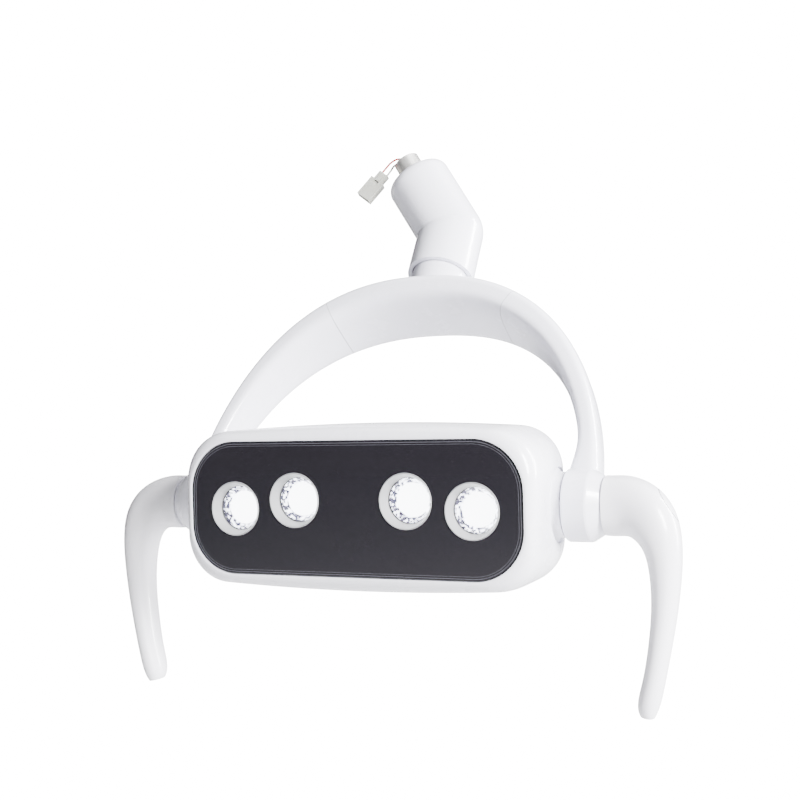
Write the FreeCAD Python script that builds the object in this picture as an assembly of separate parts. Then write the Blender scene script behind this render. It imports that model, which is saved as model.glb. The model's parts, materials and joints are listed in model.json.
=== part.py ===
"""Dental operating light: a lamp head with four LED spots, hung in an arched yoke from an angled elbow."""
import FreeCAD
import Part
import math
import os

V = FreeCAD.Vector

# Millimetres and degrees. X runs along the lamp head, -Y is the way the light shines, +Z is up.
# The parts are laid out about the head's tilt axis, and the finished shapes are moved so that
# the origin is on the spigot's axis, where it leaves the elbow.

SKIN = 2.6                    # wall of the moulded casing

# Lamp head
FACE_Y = -56.6                # front plane of the dark panel
PANEL_HALF = 124.9
PANEL_HIGH = 46.9             # half the panel's height
PANEL_CORNER = 34.6
PANEL_MID = 0.7               # height of the panel's middle above the tilt axis
PANEL_THICK = 2.4
RIM_Y = -57.2                 # front of the casing's rim
BACK_Y = 33.4
CASE_HALF = 133.2
CASE_TOP = 58.5
CASE_BOTTOM = -58.3
CASE_CORNER = 31.0
CASE_CROWN = 5.5              # fall of the top edge from its middle to its ends
LIP = 1.5                     # rim left around the panel
LAMPS = ((-89.4, 0.0), (-42.0, 6.2), (42.0, 6.2), (89.4, 0.0))
LAMP_R = 19.2                 # outer radius of each lamp's ring
LENS_R = 16.0
RING_DEEP = 7.6               # from the panel's front down to the lens

# Tilt joint: the same on both sides
SHAFT_R = 9.0
BOSS_OUT = 138.2
BOSS_R = 22.6
HUB_IN = 139.2
HUB_OUT = 165.1
HUB_R = 25.0
HUB_BUSH_R = 13.0
RUN = 0.05                    # radial play of every running fit

# Handles
GRIP_IN = 165.7
GRIP_PATH = (                 # X, Z, forward, half thickness in X, half width in Y, lean of the section
    (165.7, 0.0, 0.0, 20.2, 20.2, 90.0),
    (178.0, -0.2, 0.0, 20.2, 20.0, 86.0),
    (190.5, -4.0, 3.0, 18.6, 19.2, 64.0),
    (199.2, -13.6, 5.5, 15.8, 18.2, 38.0),
    (203.6, -27.0, 6.5, 12.4, 17.0, 15.0),
    (205.0, -45.0, 7.2, 10.1, 15.4, 2.0),
    (204.2, -64.0, 7.8, 8.6, 14.2, -4.0),
    (200.4, -92.0, 8.6, 7.4, 13.2, -7.0),
    (195.4, -117.0, 9.3, 7.2, 12.2, -9.5),
    (192.4, -129.5, 9.5, 7.0, 11.0, -9.5),
    (191.4, -137.5, 9.6, 4.6, 7.4, -9.5),
)
GRIP_SCREW_X = 178.0          # the screw that pins each handle to its shaft
CAP_MID = 205.6               # where the round cap sits in each handle's outer corner
CAP_R = 12.0
CAP_TILT = 23.0               # rise of the cap's axis from X
CAP_GAP = 0.6                 # open ring around each cap
CAP_SINK = 4.2                # how deep the cap sits below its seam's plane
PRESS = 1.5                   # travel of the push button

# Yoke
LEAN = 34.4                   # the arch leans back from upright
ARCH_HALF = 154.2
ARCH_RISE = 197.7
ARCH_BASE = -17.7             # where the arms end, below the tilt axis
ARCH_POWER = 2.3
ARCH_WIDE = (28.8, 60.0)      # at the hubs, at the top
ARCH_THICK = (12.6, 27.2)
SECTION_POWER = 3.4
ARCH_WALL = 3.2
FLARE = 8.6                   # the arms thicken inwards by this much at the hubs
SEAM_X = 75.0                 # joints between the bridge and the two arms
JOINER_PLACES = (-10.0, 10.0)
JOINER_THICK = 12.0
CABLE_D = 3.4
NECK_R = 23.0
NECK_BACK = 6.1               # the neck's axis behind the arch's middle plane
NECK_TOP = 219.5
PIVOT_FOOT = 172.0            # where the tube in the neck starts, up the arch's plane
PIVOT_R = 12.0

# Elbow, along the neck's axis and then along the spigot's axis
ELBOW_R = 27.1
MITRE_AT = 262.0              # the two axes cross this far up the arch's plane
ELBOW_FOOT = 48.0             # from the mitre down to the open lower end
ELBOW_TOP = 62.8              # from the mitre up to the end face
BEND = 43.0
SWING = 219.0                 # which way the elbow turns, about the neck's axis
ELBOW_ROUND = 9.5
BUSH_R = 17.0
SPIGOT_R = 11.0
JOURNAL_R = 10.6              # the spigot inside the elbow, a little thinner than outside it
SPIGOT_BORE = 8.4
SPIGOT_OUT = 15.0

# Leads and connector
WIRE_D = 1.8
WIRE_APART = 2.6
LEAD_SIDE = -163.0            # which way the leads leave, about the spigot's axis

BACK = math.radians(LEAN)
UP_ARCH = V(0, math.sin(BACK), math.cos(BACK))
OFF_ARCH = V(0, math.cos(BACK), -math.sin(BACK))
ALONG_X = V(1, 0, 0)


def in_arch(x, rise, off=0.0):
    """A point given in the arch's leaning plane, off millimetres behind it."""
    return V(x, 0, 0) + UP_ARCH * rise + OFF_ARCH * off


def turned(start, axis, degrees):
    return FreeCAD.Rotation(axis, degrees).multVec(start)


MITRE = in_arch(0, MITRE_AT, NECK_BACK)
SIDEWAYS = turned(ALONG_X, UP_ARCH, SWING)
SPIGOT_DIR = UP_ARCH * math.cos(math.radians(BEND)) + SIDEWAYS * math.sin(math.radians(BEND))
SEAT = MITRE + SPIGOT_DIR * ELBOW_TOP
FLAT_X = (ALONG_X - SPIGOT_DIR * ALONG_X.dot(SPIGOT_DIR)).normalize()
LEAD_DIR = turned(FLAT_X, SPIGOT_DIR, LEAD_SIDE)

saved = []


def save(name, shape):
    """Writes one piece, moved into the part's own frame."""
    moved = shape.copy()
    moved.translate(SEAT * -1)
    if not moved.isValid():
        print("not valid:", name)
    moved.exportStep("parts/%s.step" % name)
    saved.append(name)
    print("%-24s %9.1f mm3  solids %d" % (name, moved.Volume, len(moved.Solids)))


def rod(start, axis, radius, length):
    return Part.makeCylinder(radius, length, start, axis)


def pipe(start, axis, outer, inner, length):
    return rod(start, axis, outer, length).cut(rod(start, axis, inner, length))


def turned_part(origin, axis, profile):
    """A body of revolution: profile holds (distance along the axis, radius) pairs."""
    points = [V(radius, 0, along) for along, radius in profile]
    face = Part.Face(Part.makePolygon(points + points[:1]))
    solid = face.revolve(V(0, 0, 0), V(0, 0, 1), 360)
    solid.Placement = FreeCAD.Placement(origin, FreeCAD.Rotation(V(0, 0, 1), axis))
    return Part.Solid(solid) if solid.ShapeType == "Shell" else solid


def block(middle, size):
    return Part.makeBox(size[0], size[1], size[2], middle - V(*size) * 0.5)


def group(shapes):
    return Part.makeCompound(shapes)


def arc(start, middle, end):
    return Part.Arc(start, middle, end).toShape()


# ---------------------------------------------------------------- lamp head casing

def corner_circle(top_centre, top_r, side_centre, side_r):
    """Where two circles cross on the outer side, as (x, z)."""
    dx, dz = side_centre[0] - top_centre[0], side_centre[1] - top_centre[1]
    apart = math.hypot(dx, dz)
    along = (top_r ** 2 - side_r ** 2 + apart ** 2) / (2 * apart)
    across = math.sqrt(top_r ** 2 - along ** 2)
    foot = (top_centre[0] + along * dx / apart, top_centre[1] + along * dz / apart)
    choices = [(foot[0] + k * across * dz / apart, foot[1] - k * across * dx / apart) for k in (1, -1)]
    return max(choices, key=lambda p: p[0])


def pillow(y, half, top, bottom, corner, crown):
    """A closed outline at depth y: four shallow arcs joined by tangent corner arcs."""
    mid = (top + bottom) / 2
    high = (top - bottom) / 2
    side_fall = 0.05 + crown * 0.35
    long_r = (half ** 2 + crown ** 2) / (2 * crown)
    side_r = (high ** 2 + side_fall ** 2) / (2 * side_fall)
    x, z = corner_circle((0, mid + high - long_r), long_r - corner, (half - side_r, mid), side_r - corner)
    z_up = z - mid
    long_turn = math.atan2(x, z_up + long_r - high)
    side_turn = math.atan2(z_up, x - half + side_r)

    def long_arc(angle):
        return V(long_r * math.sin(angle), y, high - long_r + long_r * math.cos(angle))

    def side_arc(angle):
        return V(half - side_r + side_r * math.cos(angle), y, side_r * math.sin(angle))

    def corner_arc():
        middle = (math.pi / 2 - long_turn + side_turn) / 2
        return V(x + corner * math.cos(middle), y, z_up + corner * math.sin(middle))

    def placed(point, flip_x, flip_z):
        return V(-point.x if flip_x else point.x, y, mid + (-point.z if flip_z else point.z))

    a, b, c = long_arc(long_turn), corner_arc(), side_arc(side_turn)
    top_mid, side_mid = long_arc(0), side_arc(0)
    edges = [arc(placed(a, 1, 0), placed(top_mid, 0, 0), placed(a, 0, 0)),
             arc(placed(a, 0, 0), placed(b, 0, 0), placed(c, 0, 0)),
             arc(placed(c, 0, 0), placed(side_mid, 0, 0), placed(c, 0, 1)),
             arc(placed(c, 0, 1), placed(b, 0, 1), placed(a, 0, 1)),
             arc(placed(a, 0, 1), placed(top_mid, 0, 1), placed(a, 1, 1)),
             arc(placed(a, 1, 1), placed(b, 1, 1), placed(c, 1, 1)),
             arc(placed(c, 1, 1), placed(side_mid, 1, 0), placed(c, 1, 0)),
             arc(placed(c, 1, 0), placed(b, 1, 0), placed(a, 1, 0))]
    return Part.Wire(edges)


def casing_section(y, share, inset):
    """share is 1 at the front rim and 0 where the casing is fullest; below 0 it closes at the back."""
    if share >= 0:
        shrink_x = (CASE_HALF - PANEL_HALF - LIP) * share
        shrink_up = (CASE_TOP - PANEL_MID - PANEL_HIGH - LIP) * share
        shrink_down = (PANEL_MID - PANEL_HIGH - LIP - CASE_BOTTOM) * share
        corner = CASE_CORNER + (PANEL_CORNER + LIP - CASE_CORNER) * share
    else:
        shrink_x, shrink_up, shrink_down = -27.0 * share, -23.0 * share, -22.0 * share
        corner = CASE_CORNER + 13.0 * share
    crown = max(CASE_CROWN * (1 - abs(share)), 0.06)
    return pillow(y, CASE_HALF - shrink_x - inset, CASE_TOP - shrink_up - inset,
                  CASE_BOTTOM + shrink_down + inset, corner - inset, crown)


OUTER_DEPTHS = ((RIM_Y, 1.0), (-55.9, 0.66), (-52.6, 0.34), (-44.0, 0.09), (-28.0, 0.0), (0.0, 0.0),
                (14.0, -0.05), (23.0, -0.22), (29.5, -0.52), (BACK_Y, -1.0))
INNER_DEPTHS = ((-50.6, 0.9), (-49.0, 0.5), (-44.0, 0.2), (-38.0, 0.05), (-26.0, 0.0), (0.0, 0.0),
                (13.0, -0.05), (21.5, -0.22), (27.2, -0.52), (30.6, -0.95))


def lofted(wires):
    solid = Part.makeLoft(wires, True, False)
    return solid.Solids[0] if solid.Solids else solid


def panel_prism(front, back, grow):
    """The panel's outline pushed from one depth to another, larger by grow all round."""
    wire = pillow(front, PANEL_HALF + grow, PANEL_MID + PANEL_HIGH + grow,
                  PANEL_MID - PANEL_HIGH - grow, PANEL_CORNER + grow, 0.06)
    return Part.Face(wire).extrude(V(0, back - front, 0))


POST_PLACES = ((-68.0, 45.0), (68.0, 45.0), (-68.0, -45.0), (68.0, -45.0))
POST_R = 4.4
POST_START = -52.4             # the front posts grow out of the ledge behind the panel
SCREW_R = 1.6
SIDE_HOLE_R = 26.2
SEAM = 0.25                    # half the groove between the two casing shells


def casing_body(inset):
    return lofted([casing_section(y, share, inset) for y, share in OUTER_DEPTHS])


def casing_shell():
    outer = casing_body(0.0)
    inner = lofted([casing_section(y, share, SKIN) for y, share in INNER_DEPTHS])
    shell = outer.cut(inner)
    for side in (-1, 1):
        shell = shell.cut(rod(V(side * 110.0, 0, 0), ALONG_X * side, SIDE_HOLE_R, 40.0))
    return shell


def front_casing(shell):
    full = casing_body(SKIN / 2)
    half = shell.common(block(V(0, -60.0 - SEAM, 0), (320, 120.0, 160)))
    half = half.cut(panel_prism(RIM_Y - 1, FACE_Y + PANEL_THICK + 0.6, 0.15))
    half = half.cut(panel_prism(FACE_Y, -48.0, -5.0))
    for x, z in POST_PLACES:
        post = rod(V(x, POST_START, z), V(0, 1, 0), POST_R, -SEAM - POST_START)
        half = half.fuse(post.common(full).cut(rod(V(x, -16.0, z), V(0, 1, 0), SCREW_R, 20.0)))
    return half.removeSplitter()


VENT_WIDE = 22.0
VENT_HIGH = 2.6
VENT_ROWS = (12.0, 6.0, 0.0, -6.0, -12.0)
VENT_COLUMNS = (-62.0, 62.0)


def rear_casing(shell):
    half = shell.common(block(V(0, 40.0 + SEAM, 0), (320, 80.0, 160)))
    full = casing_body(SKIN / 2)
    for x, z in POST_PLACES:
        post = rod(V(x, SEAM, z), V(0, 1, 0), POST_R, 26.0)
        half = half.fuse(post.common(full))
        half = half.cut(rod(V(x, 0, z), V(0, 1, 0), SCREW_R + 0.35, 40.0))
        half = half.cut(rod(V(x, 14.0, z), V(0, 1, 0), 3.5, 40.0))
    for x in VENT_COLUMNS:
        for z in VENT_ROWS:
            slot = block(V(x, BACK_Y, z), (VENT_WIDE, 12.0, VENT_HIGH))
            for end in (-1, 1):
                slot = slot.fuse(rod(V(x + end * VENT_WIDE / 2, BACK_Y - 6, z), V(0, 1, 0), VENT_HIGH / 2, 12.0))
            half = half.cut(slot)
    return half.removeSplitter()


def casing_screws():
    screws = []
    for x, z in POST_PLACES:
        head = turned_part(V(x, 14.0, z), V(0, 1, 0), ((0, 0), (0, 3.1), (1.8, 3.1), (2.4, 2.3), (2.4, 0)))
        head = head.cut(Part.makeBox(1.0, 1.4, 3.4, V(x - 0.5, 15.2, z - 1.7)))
        head = head.cut(Part.makeBox(3.4, 1.4, 1.0, V(x - 1.7, 15.2, z - 0.5)))
        screws.append(head.fuse(rod(V(x, -14.5, z), V(0, 1, 0), SCREW_R - 0.05, 28.5)))
    return group(screws)


# ---------------------------------------------------------------- lamps and electronics

def face_panel():
    panel = panel_prism(FACE_Y, FACE_Y + PANEL_THICK, 0.0)
    front_edges = [e for e in panel.Edges if all(abs(v.Point.y - FACE_Y) < 0.01 for v in e.Vertexes)]
    panel = panel.makeChamfer(0.7, front_edges)
    for x, z in LAMPS:
        panel = panel.cut(rod(V(x, FACE_Y - 1, z), V(0, 1, 0), LAMP_R + 0.2, 6.0))
    return panel


def panel_gasket():
    y = FACE_Y + PANEL_THICK
    return panel_prism(y, y + 0.6, -0.4).cut(panel_prism(y - 1, y + 2, -4.6))


def lamp_ring(x, z):
    """White collar through the panel, tapering down to the lens."""
    profile = ((-0.5, LAMP_R - 0.8), (-0.5, LAMP_R - 0.3), (-0.1, LAMP_R), (PANEL_THICK + 0.2, LAMP_R),
               (PANEL_THICK + 0.2, LAMP_R + 1.6), (RING_DEEP + 1.4, LAMP_R + 1.6), (RING_DEEP + 1.4, LENS_R + 0.3),
               (RING_DEEP, LENS_R + 0.3), (RING_DEEP, LENS_R - 0.3), (RING_DEEP - 0.6, LENS_R - 0.3))
    return turned_part(V(x, FACE_Y, z), V(0, 1, 0), profile)


def lens(x, z):
    """Clear cover lens, slightly domed to the front."""
    y = FACE_Y + RING_DEEP
    profile = ((-0.1, 0), (0.35, LENS_R * 0.5), (0.9, LENS_R), (2.4, LENS_R), (2.4, 0))
    return turned_part(V(x, y + 0.05, z), V(0, 1, 0), profile)


CUP_DEEP = 11.4                # from a reflector's rim to its open back


def reflector(x, z):
    """Faceted cup: rings of flat facets between regular polygons."""
    y = FACE_Y + RING_DEEP + 2.8
    sides = 20

    def ring(depth, radius, twist):
        points = []
        for k in range(sides):
            turn = 2 * math.pi * (k + twist) / sides
            points.append(V(x + radius * math.cos(turn), y + depth, z + radius * math.sin(turn)))
        return Part.makePolygon(points + points[:1])

    outside = turned_part(V(x, y, z), V(0, 1, 0), ((0, 0), (0, LENS_R + 0.4), (CUP_DEEP, 9.2), (CUP_DEEP, 0)))
    steps = ((-0.1, LENS_R - 0.6), (4.6, 12.6), (8.6, 9.4), (CUP_DEEP + 0.1, 7.2))
    cavity = Part.makeLoft([ring(d, r, 0.0) for d, r in steps], True, True)
    return outside.cut(cavity)


PLATE_Y = -32.8                # front of the plate that carries the lamps


def lamp_module(x, z):
    """Square board with a ceramic emitter."""
    board = block(V(x, PLATE_Y - 0.8, z), (15.0, 1.6, 15.0))
    emitter = block(V(x, PLATE_Y - 2.1, z), (7.0, 1.0, 7.0))
    dome = Part.makeSphere(2.6, V(x, PLATE_Y - 2.6, z)).common(rod(V(x, PLATE_Y - 2.6, z), V(0, -1, 0), 4.0, 5.0))
    return board.fuse([emitter, dome])


def lamp_carrier():
    plate = block(V(0, PLATE_Y + 1.5, 2.0), (222.0, 3.0, 58.0))
    for x, z in STANDOFF_PLACES:
        plate = plate.cut(rod(V(x, PLATE_Y - 1, z), V(0, 1, 0), 1.3, 6.0))
    return plate


def heat_sink():
    y = PLATE_Y + 3.1
    sink = block(V(0, y + 1.5, 4.0), (196.0, 3.0, 46.0))
    fins = []
    count = 17
    for k in range(count):
        x = -94.0 + 188.0 * k / (count - 1)
        fins.append(block(V(x, y + 8.4, 4.0), (1.6, 10.9, 46.0)))
    return sink.fuse(fins).removeSplitter()


STANDOFF_PLACES = ((-104.0, 24.0), (104.0, 24.0), (-104.0, -20.0), (104.0, -20.0))
BOARD_Y = 8.0


def board_standoffs():
    y = PLATE_Y + 3.1
    return group([pipe(V(x, y, z), V(0, 1, 0), 3.0, 1.3, BOARD_Y - 0.1 - y) for x, z in STANDOFF_PLACES])


def driver_board():
    board = block(V(0, BOARD_Y + 0.8, 2.0), (216.0, 1.6, 52.0))
    for x, z in STANDOFF_PLACES:
        board = board.cut(rod(V(x, BOARD_Y - 1, z), V(0, 1, 0), 1.4, 6.0))
    return board


def driver_parts():
    """Coil, capacitors, chips and plug sockets on the back of the board."""
    y = BOARD_Y + 1.65
    parts = [rod(V(x, y, 12.0), V(0, 1, 0), 5.0, 10.5) for x in (-44.0, -31.0)]
    parts.append(rod(V(-12.0, y, 10.0), V(0, 1, 0), 7.5, 7.0))
    parts += [block(V(x, y + 1.2, -8.0), (9.0, 2.4, 7.0)) for x in (-40.0, -20.0, 14.0, 38.0)]
    parts += [block(V(x, y + 3.5, 12.0), (7.0, 7.0, 12.0)) for x in (34.0, 78.0)]
    return group(parts)


def board_screws():
    screws = []
    for x, z in STANDOFF_PLACES:
        head = turned_part(V(x, BOARD_Y + 1.7, z), V(0, 1, 0), ((0, 0), (0, 2.5), (1.4, 2.3), (1.8, 1.4), (1.8, 0)))
        screws.append(head.fuse(rod(V(x, BOARD_Y - 8.0, z), V(0, 1, 0), 1.25, 9.8)))
    return group(screws)


# ---------------------------------------------------------------- tilt joint, the same at both ends

def side_axis(side):
    return ALONG_X * side


def boss(side):
    """White ring in the casing's side, flaring out to the hub."""
    profile = [(114.0, SHAFT_R + 0.1), (114.0, 26.0), (130.4, 26.0)]
    steps = 6
    for k in range(1, steps + 1):
        turn = math.pi / 2 * k / steps
        profile.append((130.4 + 4.6 * (1 - math.cos(turn)) + 0.4, 26.0 - (26.0 - BOSS_R) * math.sin(turn)))
    profile += [(BOSS_OUT, BOSS_R), (BOSS_OUT, SHAFT_R + 0.1)]
    ring = turned_part(V(0, 0, 0), side_axis(side), profile)
    recess = rod(V(side * 113.0, 0, 0), side_axis(side), 20.3, 7.1)
    return ring.cut(recess)


def trunnion(side):
    """Hollow steel shaft with a flange that bears on the boss from inside."""
    profile = ((115.0, 6.0), (115.0, 20.0), (120.0, 20.0), (120.0, SHAFT_R), (186.0, SHAFT_R), (186.0, 6.0))
    shaft = turned_part(V(0, 0, 0), side_axis(side), profile)
    return shaft.cut(rod(V(side * GRIP_SCREW_X, -12.0, 0), V(0, 1, 0), 2.1, 24.0))


def flange_screws():
    screws = []
    for side in (-1, 1):
        for k in range(3):
            turn = math.radians(90 + 120 * k)
            place = V(side * 114.9, 14.8 * math.cos(turn), 14.8 * math.sin(turn))
            screws.append(rod(place, side_axis(-side), 2.6, 1.6))
    return group(screws)


def hub_bush(side):
    profile = ((HUB_IN + 1.3, SHAFT_R + RUN), (HUB_IN + 1.3, HUB_BUSH_R + 4.0), (HUB_IN + 3.3, HUB_BUSH_R + 4.0),
               (HUB_IN + 3.3, HUB_BUSH_R), (HUB_IN + 19.3, HUB_BUSH_R), (HUB_IN + 19.3, SHAFT_R + RUN))
    return turned_part(V(0, 0, 0), side_axis(side), profile)


def friction_washer(side):
    return pipe(V(side * (BOSS_OUT + 0.05), 0, 0), side_axis(side), 17.0, SHAFT_R + 0.3, 2.2)


def disc_spring(side):
    """Cone washer that loads the tilt joint."""
    start = HUB_IN + 20.0
    profile = ((start, 15.2), (start + 1.2, 15.2), (start + 2.4, SHAFT_R + 0.4), (start + 1.2, SHAFT_R + 0.4))
    return turned_part(V(0, 0, 0), side_axis(side), profile)


def tilt_nut(side):
    """Slotted round nut on the shaft, half in the hub and half in the handle."""
    start = HUB_IN + 22.6
    nut = pipe(V(side * start, 0, 0), side_axis(side), 14.6, SHAFT_R + 0.02, 5.4)
    for k in range(4):
        turn = math.radians(45 + 90 * k)
        place = V(side * (start + 2.7), 14.6 * math.cos(turn), 14.6 * math.sin(turn))
        slot = block(place, (8.0, 3.2, 3.2))
        nut = nut.cut(slot)
    return nut


# ---------------------------------------------------------------- handles

def grip_section(x, z, forward, thick, wide, lean):
    """A rounded outline across the handle; lean turns it from level to upright."""
    turn = math.radians(lean)
    across = V(math.cos(turn), 0, math.sin(turn))
    points = []
    count = 20
    power = 2.0 / 2.25
    for k in range(count):
        angle = 2 * math.pi * k / count
        c, s = math.cos(angle), math.sin(angle)
        a = math.copysign(abs(c) ** power, c) * thick
        b = math.copysign(abs(s) ** power, s) * wide
        points.append(V(x, -forward, z) + across * a + V(0, b, 0))
    curve = Part.BSplineCurve()
    curve.interpolate(points, PeriodicFlag=True)
    return Part.Wire([curve.toShape()])


CAP_DIR = V(math.cos(math.radians(CAP_TILT)), 0, math.sin(math.radians(CAP_TILT)))


def mirrored(shape, side):
    return shape if side > 0 else shape.mirror(V(0, 0, 0), ALONG_X)


def grip_blank():
    return lofted([grip_section(*row) for row in GRIP_PATH])


def handle(side, blank, cap_hole):
    body = blank.cut(block(V(GRIP_IN - 20.0, 0, 0), (40.0, 60.0, 60.0)))
    body = body.cut(rod(V(GRIP_IN - 1, 0, 0), ALONG_X, 15.2, 5.2))
    body = body.cut(rod(V(GRIP_IN - 1, 0, 0), ALONG_X, SHAFT_R + 0.05, 22.0))
    body = body.cut(rod(V(GRIP_SCREW_X, 30.0, 0), V(0, -1, 0), 2.1, 42.0))
    body = body.cut(rod(V(GRIP_SCREW_X, 30.0, 0), V(0, -1, 0), 3.9, 15.0))
    body = body.cut(cap_hole)
    return mirrored(body, side)


def handle_screws():
    screws = []
    for side in (-1, 1):
        head = turned_part(V(side * GRIP_SCREW_X, 14.9, 0), V(0, -1, 0),
                           ((-3.2, 0), (-3.2, 3.0), (-2.6, 3.7), (0, 3.7), (0, 2.0), (25.0, 2.0), (25.0, 0)))
        screws.append(head.cut(Part.makeBox(5.6, 1.6, 1.1, V(side * GRIP_SCREW_X - 2.8, 16.7, -0.55))))
    return group(screws)


def cap_well(radius, depth):
    """The round space under a cap, open to the outside."""
    return rod(V(CAP_MID, 0, 0) - CAP_DIR * depth, CAP_DIR, radius, depth + 20.0)


def cap_blank(blank):
    """The handle's own corner inside the well: a domed cap that follows the handle's skin."""
    return blank.common(rod(V(CAP_MID, 0, 0) - CAP_DIR * CAP_SINK, CAP_DIR, CAP_R, 30.0))


def button_spring():
    start = V(CAP_MID, 0, 0) - CAP_DIR * 9.0
    coils = [Part.makeTorus(4.2, 0.35, start + CAP_DIR * (0.5 + 0.8 * k), CAP_DIR) for k in range(4)]
    return group(coils)


def switch_body():
    start = V(CAP_MID, 0, 0) - CAP_DIR * 14.6
    body = rod(start, CAP_DIR, 8.0, 5.4)
    return body.fuse(rod(start + CAP_DIR * 5.4, CAP_DIR, 1.9, 2.2))


# ---------------------------------------------------------------- yoke

def arch_frame(turn, shrink):
    """Middle, outward direction, thickness and width of the arch's section at turn radians."""
    power = 2 / ARCH_POWER
    c, s = math.cos(turn), math.sin(turn)
    x = math.copysign(abs(c) ** power, c) * ARCH_HALF
    rise = abs(s) ** power * ARCH_RISE

    def steep(value):
        return math.copysign(abs(value) ** (ARCH_POWER - 1), value)

    out = in_arch(steep(x / ARCH_HALF) / ARCH_HALF, steep(rise / ARCH_RISE) / ARCH_RISE).normalize()
    share = (rise / ARCH_RISE) ** 2
    wide = ARCH_WIDE[0] + (ARCH_WIDE[1] - ARCH_WIDE[0]) * share
    thick = ARCH_THICK[0] + (ARCH_THICK[1] - ARCH_THICK[0]) * share
    height = rise + ARCH_BASE
    fade = min(max((58.0 - height) / 44.0, 0.0), 1.0)
    flare = FLARE * fade * fade * (3 - 2 * fade)
    middle = in_arch(x, height) - out * (flare / 2)
    return middle, out, thick + flare - 2 * shrink, wide - 2 * shrink


def arch_section(turn, shrink):
    middle, out, thick, wide = arch_frame(turn, shrink)
    power = 2 / SECTION_POWER
    points = []
    count = 24
    for k in range(count):
        angle = 2 * math.pi * k / count
        c, s = math.cos(angle), math.sin(angle)
        a = math.copysign(abs(c) ** power, c) * thick / 2
        b = math.copysign(abs(s) ** power, s) * wide / 2
        points.append(middle + out * a + OFF_ARCH * b)
    curve = Part.BSplineCurve()
    curve.interpolate(points, PeriodicFlag=True)
    return Part.Wire([curve.toShape()])


def arch_turns(first, count):
    """Turns evenly spaced along the arch, from first to the same place at the other end."""
    fine = [first + (math.pi - 2 * first) * k / 600 for k in range(601)]
    run = [0.0]
    for a, b in zip(fine, fine[1:]):
        run.append(run[-1] + (arch_frame(b, 0.0)[0] - arch_frame(a, 0.0)[0]).Length)
    wanted = [run[-1] * k / (count - 1) for k in range(count)]
    return [fine[min(range(601), key=lambda n: abs(run[n] - goal))] for goal in wanted]


def arch_solid():
    return lofted([arch_section(t, 0.0) for t in arch_turns(0.0, 27)])


def arch_hollow():
    return lofted([arch_section(t, ARCH_WALL) for t in arch_turns(0.22, 21)])


def hub(side):
    """Round end of the arm, chamfered outside and rounded inside."""
    profile = [(HUB_IN, 0.0), (HUB_IN, HUB_R - 1.6), (HUB_IN + 0.5, HUB_R - 0.5), (HUB_IN + 1.6, HUB_R),
               (HUB_OUT - 9.6, HUB_R), (HUB_OUT - 8.2, HUB_R - 0.5), (HUB_OUT - 0.5, HUB_R - 5.4),
               (HUB_OUT, HUB_R - 5.9), (HUB_OUT, 0.0)]
    return turned_part(V(0, 0, 0), side_axis(side), profile)


def hub_bores(side):
    axis = side_axis(side)
    beside = rod(V(side * (HUB_IN - 20.0), 0, 0), axis, HUB_R + 2.0, 20.0)
    inner = rod(V(side * (HUB_IN - 1), 0, 0), axis, HUB_BUSH_R + 4.1, 4.4)
    through = rod(V(side * (HUB_IN - 1), 0, 0), axis, HUB_BUSH_R + 0.02, 30.0)
    outer = rod(V(side * (HUB_IN + 19.4), 0, 0), axis, 15.6, 12.0)
    return [beside, inner, through, outer]


def at_seam(side):
    """The frame at the joint between the bridge and one arm: X along the arm, Y out of the arch."""
    turn = math.acos((SEAM_X / ARCH_HALF) ** (ARCH_POWER / 2))
    middle, out, _, _ = arch_frame(turn if side > 0 else math.pi - turn, 0.0)
    along = out.cross(OFF_ARCH).normalize()
    along = along if along.x * side > 0 else along * -1
    return FreeCAD.Placement(middle, FreeCAD.Rotation(along, out, along.cross(out), "XYZ"))


def put(shape, frame):
    shape.Placement = frame.multiply(shape.Placement)
    return shape


def beyond_seam(side, start):
    box = Part.makeBox(400.0, 420.0, 420.0, V(start, -210.0, -210.0))
    return put(box, at_seam(side))


def joiner_holes(side, radius, depth):
    """Screw holes down through the top of the arch, one on each side of a joint."""
    return [put(rod(V(place, 30.0, 0), V(0, -1, 0), radius, depth), at_seam(side)) for place in JOINER_PLACES]


def yoke_pieces():
    solid = arch_solid()
    hollow = arch_hollow()
    neck_foot = in_arch(0, 172.0, NECK_BACK)
    neck = rod(neck_foot, UP_ARCH, NECK_R, NECK_TOP - 172.0)
    neck = neck.makeFillet(1.2, [e for e in neck.Edges if abs(e.CenterOfMass.dot(UP_ARCH) - NECK_TOP) < 0.1])
    bridge = solid.fuse(neck).cut(hollow)
    bridge = bridge.fuse(rod(in_arch(0, PIVOT_FOOT + 4.0, NECK_BACK), UP_ARCH, PIVOT_R + 6.0, 20.0))
    bridge = bridge.cut(rod(in_arch(0, PIVOT_FOOT - 0.5, NECK_BACK), UP_ARCH, PIVOT_R + 0.02, 60.0))
    bridge = bridge.cut(rod(in_arch(0, PIVOT_FOOT - 0.5, NECK_BACK), UP_ARCH, PIVOT_R + 3.8, 4.5))
    arms = {}
    for side in (-1, 1):
        arm = solid.common(beyond_seam(side, SEAM / 2))
        arm = arm.cut(hollow).fuse(hub(side))
        bridge = bridge.cut(beyond_seam(side, -SEAM / 2))
        holes = joiner_holes(side, SCREW_R + 0.3, 30.0) + joiner_holes(side, 3.4, 19.0)
        for bore in hub_bores(side) + holes:
            arm = arm.cut(bore)
        for hole in holes:
            bridge = bridge.cut(hole)
        arms[side] = arm
    return bridge, arms


def pivot_tube():
    """Steel tube that stands in the neck and carries the yoke on the elbow."""
    foot = in_arch(0, PIVOT_FOOT, NECK_BACK)
    tube = pipe(foot, UP_ARCH, PIVOT_R, 8.0, 253.0 - PIVOT_FOOT)
    return tube.fuse(pipe(foot, UP_ARCH, PIVOT_R + 3.6, 8.0, 3.9))


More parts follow.
